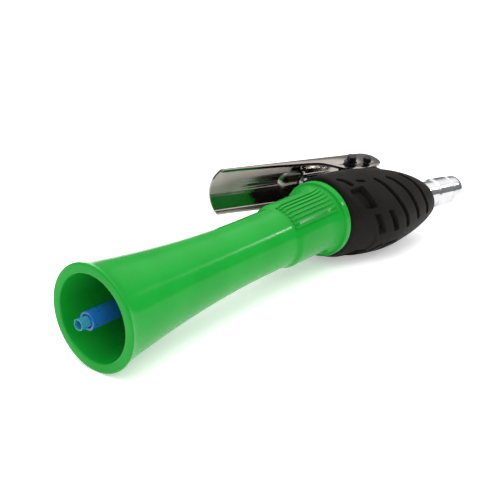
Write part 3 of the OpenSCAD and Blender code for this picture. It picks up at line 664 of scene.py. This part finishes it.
def dish_form(radius):
    middle = WEB_TOP - LEVER_T - DISH_DEPTH + DISH_R
    line = [(DISH_X - DISH_LEN - radius * math.cos(a), radius * math.sin(a)) for a in arc_steps(1, 90, 12)]
    line += [(DISH_X + radius * math.sin(a), radius * math.cos(a)) for a in arc_steps(0, 89, 12)]
    return lathe("dish", line, lambda t, u, v: in_lever(t, middle + u, v), 64, closed=False)


def along_sheet(y, z, x):
    return in_lever(x, y, z)


def across_sheet(x, z, y):
    return in_lever(x, y, z)


def make_lever():
    """Channel of bent sheet with a long dish, deep ears and broken edges."""
    front = -LEVER_LEN - 2
    lever = prism("sheet", sheet_line(0), front, LEVER_BACK + 2, along_sheet)
    inside = prism("inside", sheet_line(LEVER_T), front - 1, LEVER_BACK + 3, along_sheet)
    combine(lever, inside, "DIFFERENCE")
    side = EAR_OUTLINE + ((4.6, WEB_EDGE + 0.6), (3, WEB_TOP + 1), (front, WEB_TOP + 1), (front, 8))
    combine(lever, prism("side", side, -LEVER_HALF - 1, LEVER_HALF + 1, in_lever), "INTERSECT")
    end_r = (LEVER_HALF ** 2 + WEB_CROWN ** 2) / (2 * WEB_CROWN)
    nose = [(end_r - LEVER_LEN - end_r * math.cos(a), end_r * math.sin(a)) for a in arc_steps(-34, 34, 32)]
    plan = nose + [(LEVER_BACK + 1, 13), (LEVER_BACK + 1, -13)]
    combine(lever, prism("plan", plan, -EAR_DROP - 3, WEB_TOP + 2, across_sheet), "INTERSECT")
    outer = dish_form(DISH_R)
    reach = DISH_LEN + DISH_R
    slab = block("slab", (DISH_X - reach, 0, -DISH_R), (DISH_X + DISH_R, WEB_TOP - LEVER_T / 2, DISH_R),
                 in_lever)
    combine(outer, slab, "INTERSECT")
    combine(lever, outer, "UNION")
    combine(lever, dish_form(DISH_R - LEVER_T), "DIFFERENCE")
    for radius, place in ((PIN_R + 0.05, pin_place(0, 0)), (STOP_R + 0.03, pin_place(STOP_BACK, -STOP_DROP))):
        combine(lever, bar("hole", -LEVER_HALF - 2, LEVER_HALF + 2, radius, place, steps=48), "DIFFERENCE")
    soften(lever, EDGE)
    lever.name = "polished_lever"
    finish_piece(lever, "lever_steel", "lever", 30)


def soften(piece, width):
    """Break the sharp edges of a flat-faced solid."""
    work = bmesh.new()
    work.from_mesh(piece.data)
    bmesh.ops.remove_doubles(work, verts=work.verts, dist=2e-6)
    bmesh.ops.dissolve_limit(work, angle_limit=math.radians(1), verts=work.verts, edges=work.edges)
    work.to_mesh(piece.data)
    work.free()
    step = piece.modifiers.new("edges", "BEVEL")
    step.width = width * MM
    step.segments = 2
    step.limit_method = "ANGLE"
    step.angle_limit = math.radians(50)
    settle(piece)


def pin_place(x, y):
    """Places round a pin at x, y of the lever, as a lathe or bar asks for them."""
    return lambda t, u, v: in_lever(x + u, y + v, t)


def make_pins():
    """Both pins, standing out of the ears with domed ends."""
    for name, node, place, radius, half, head in (
            ("hinge_pin", "lever_pin", pin_place(0, 0), PIN_R, LEVER_HALF + PIN_STAND, PIN_HEAD_R),
            ("stop_peg", "stop_pin", pin_place(STOP_BACK, -STOP_DROP), STOP_R, LEVER_HALF + STOP_STAND,
             STOP_HEAD_R)):
        dome = [(half - HEAD_ROUND * (1 - math.sin(a)), head - HEAD_ROUND * (1 - math.cos(a)))
                for a in arc_steps(0, 90, 6)]
        foot = half - HEAD_LEN
        end = [(foot, radius), (foot, head - 0.15), (foot + 0.15, head)] + dome
        profile = [(-t, r) for t, r in reversed(end)] + end
        finish_piece(lathe(name, profile, place, 48, closed=False), "dark_steel", node, 40)


# ---------------------------------------------------------------- stage

def make_camera():
    """Height, distance and angle as they were fitted to the photograph."""
    data = bpy.data.cameras.new("camera")
    data.lens = 72
    data.sensor_width = 36
    data.clip_start = 0.01
    camera = bpy.data.objects.new("camera", data)
    camera.location = (-0.1997, -0.2361, 0.147)
    camera.rotation_euler = (math.radians(90 - 21.8), 0, math.radians(-50.2))
    scene.collection.objects.link(camera)
    scene.camera = camera


def make_floor():
    low = cad_box[0].z
    size = 40             # wide enough that no low view shows its edge
    mesh = bpy.data.meshes.new("floor")
    mesh.from_pydata([(-size, -size, low), (size, -size, low), (size, size, low), (-size, size, low)], [],
                     [(0, 1, 2, 3)])
    floor = add_mesh("floor", mesh)
    white = surface("floor_white", (0.9, 0.9, 0.9), (0.92, 0.92, 0.92), (0.5, 0.6), grain=300.0,
                    depth=0.00001, patch=3.0, Emission_Strength=FLOOR_GLOW, Emission_Color=(1, 1, 1, 1))
    floor.data.materials.append(white)


def area_light(name, place, target, size, power):
    data = bpy.data.lights.new(name, "AREA")
    data.shape = "SQUARE"
    data.size = size
    data.energy = power
    light = bpy.data.objects.new(name, data)
    light.location = place
    light.rotation_euler = (Vector(target) - Vector(place)).to_track_quat("-Z", "Y").to_euler()
    scene.collection.objects.link(light)


def make_world():
    """A bright tent overhead that falls away to a dim room at the horizon."""
    world = bpy.data.worlds.new("studio")
    scene.world = world
    world.use_nodes = True
    tree = world.node_tree
    way = tree.nodes.new("ShaderNodeTexCoord")
    split = tree.nodes.new("ShaderNodeSeparateXYZ")
    ramp = tree.nodes.new("ShaderNodeValToRGB")
    tree.links.new(way.outputs["Generated"], split.inputs["Vector"])
    tree.links.new(split.outputs["Z"], ramp.inputs["Fac"])
    elements = ramp.color_ramp.elements
    elements[0].position, elements[0].color = 0.0, (0.16, 0.16, 0.165, 1)
    elements[1].position, elements[1].color = 1.0, (1, 1, 1, 1)
    for place, level in ((0.42, 0.2), (0.62, 0.92)):
        stop = elements.new(place)
        stop.color = (level, level, level, 1)
    tree.links.new(ramp.outputs["Color"], tree.nodes["Background"].inputs["Color"])
    tree.nodes["Background"].inputs["Strength"].default_value = 1.75


def make_lights():
    make_world()
    gun = Vector((0.07, 0.0, 0.0))
    area_light("glint", gun + 0.9 * Vector((0.713, -0.521, 0.469)), gun, 0.05, 0.5)
    area_light("overhead", gun + Vector((-0.2, -0.1, 1.2)), gun, 0.9, 4.0)
    scene.view_settings.view_transform = "Standard"


dress_nodes()
make_cone()
make_tubes()
make_plug()
make_boot()
make_lever()
make_pins()
make_camera()
make_floor()
make_lights()
